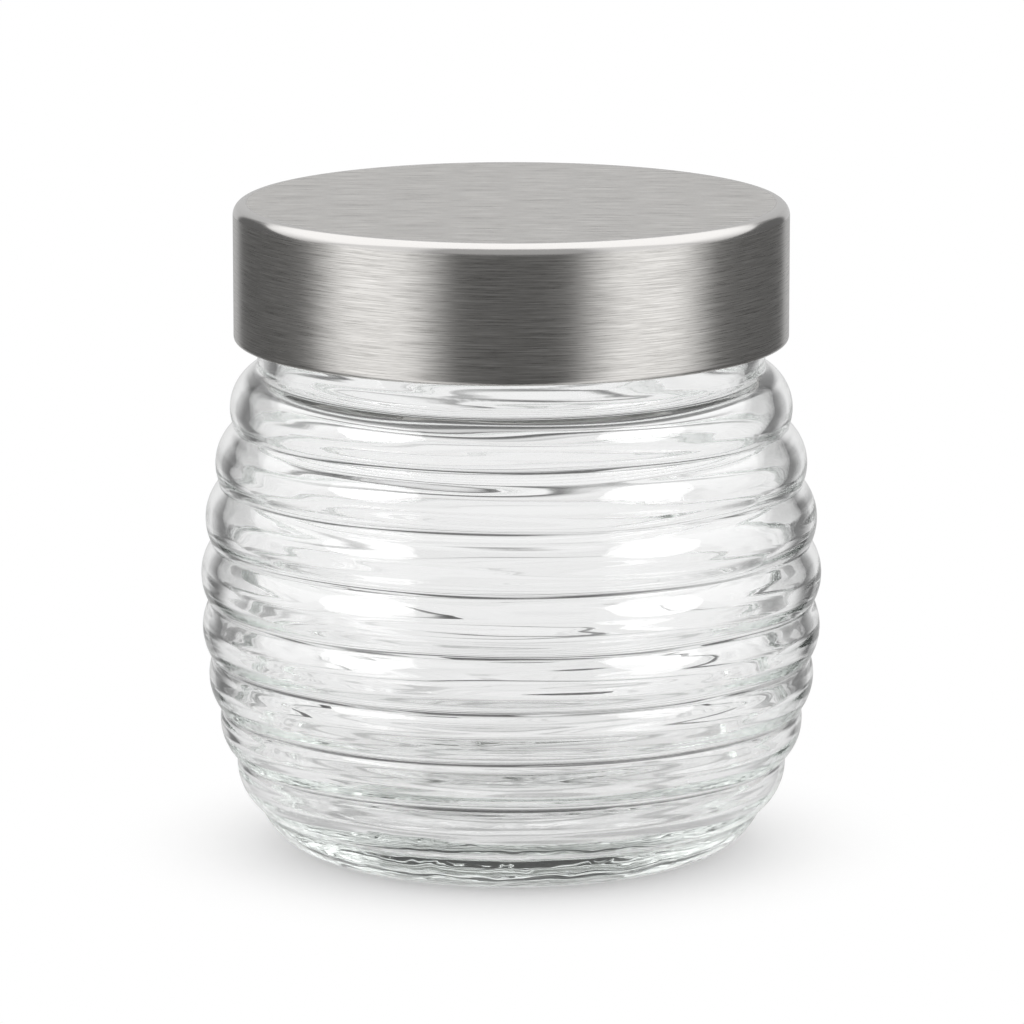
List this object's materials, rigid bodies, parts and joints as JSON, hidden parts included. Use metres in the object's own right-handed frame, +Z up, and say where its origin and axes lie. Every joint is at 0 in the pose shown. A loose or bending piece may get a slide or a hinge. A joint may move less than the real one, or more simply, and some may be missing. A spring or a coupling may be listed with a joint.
{
  "type": "glass storage jar",
  "caption": "Round-bellied storage jar of clear glass with stacked horizontal ribs, a narrow foot and a straight-sided screw cap of brushed steel.",
  "frame": {"origin": "on the table, at the centre of the ring that the jar stands on", "axes": "+Z up along the jar's axis, from the foot to the cap; X and Y level, -Y towards the picture's viewer"},
  "size_m": [0.1112, 0.1111, 0.1166],
  "materials": {
    "clear_glass": "clear, fire polished, faint green in thick places",
    "silicone": "milky, matt",
    "inner_cap": "moulded, fine matt",
    "brushed_steel": "brushed in fine level lines"
  },
  "bodies": {
    "jar": {"glass_jar": "clear_glass"},
    "seal": {"sealing_ring": "silicone"},
    "lid": {"lid_insert": "inner_cap", "lid_shell": "brushed_steel"}
  },
  "joints": [
    {"name": "lid_lift", "type": "slide", "parent": "jar", "child": "seal", "axis": [0, 0, 1], "range_m": [0, 0.023]},
    {"name": "lid_turn", "type": "hinge", "parent": "seal", "child": "lid", "pos_m": [0, 0, 0.1], "axis": [0, 0, 1], "range_deg": [0, 690]}
  ],
  "couplings": [
    {"joint": "lid_lift", "follows": "lid_turn", "m_per_rad": 0.0019099}
  ]
}
